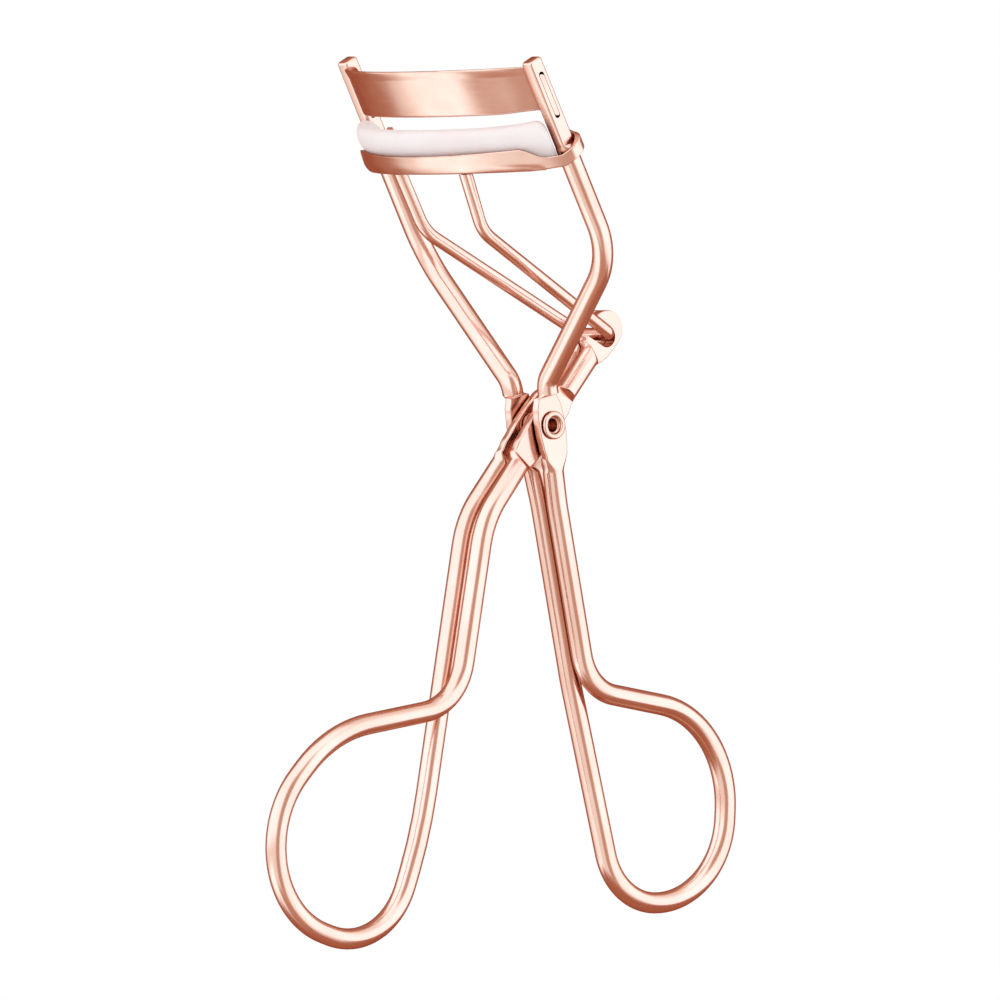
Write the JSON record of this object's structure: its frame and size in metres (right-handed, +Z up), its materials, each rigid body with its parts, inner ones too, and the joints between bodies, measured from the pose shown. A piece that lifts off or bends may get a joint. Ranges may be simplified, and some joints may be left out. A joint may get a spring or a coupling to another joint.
{
  "type": "eyelash curler",
  "caption": "Scissor-handled eyelash curler of bent wire with finger loops, a riveted pivot, a fixed curved upper bar and a padded lower bar that slides up two rails.",
  "frame": {"origin": "centre of the fixed finger loop, on the mid plane between the two wire strands", "axes": "+X along the pivot and across the jaw, -Y towards the convex front of the jaw, +Z up from the finger loops to the jaw"},
  "size_m": [0.0378, 0.0725, 0.1054],
  "materials": {
    "rose_gold": "polished rose-gold plating on steel",
    "silicone": "matte translucent silicone"
  },
  "bodies": {
    "frame": {"frame_wire": "rose_gold", "upper_bar": "rose_gold", "pivot_rivet_front": "rose_gold", "pivot_rivet_rear": "rose_gold"},
    "lever": {"lever_wire": "rose_gold"},
    "lower_jaw": {"lower_bar": "rose_gold", "silicone_pad": "silicone", "yoke_wire": "rose_gold"}
  },
  "joints": [
    {"name": "handle_pivot", "type": "hinge", "parent": "frame", "child": "lever", "pos_m": [0, -0.0203, 0.0446], "axis": [1, 0, 0], "range_deg": [-12, 5.9]},
    {"name": "jaw_slide", "type": "slide", "parent": "frame", "child": "lower_jaw", "axis": [0, -0.4664, 0.8846], "range_m": [-0.00231, 0.00114]}
  ],
  "couplings": [
    {"joint": "jaw_slide", "follows": "handle_pivot", "m_per_rad": 0.011}
  ]
}
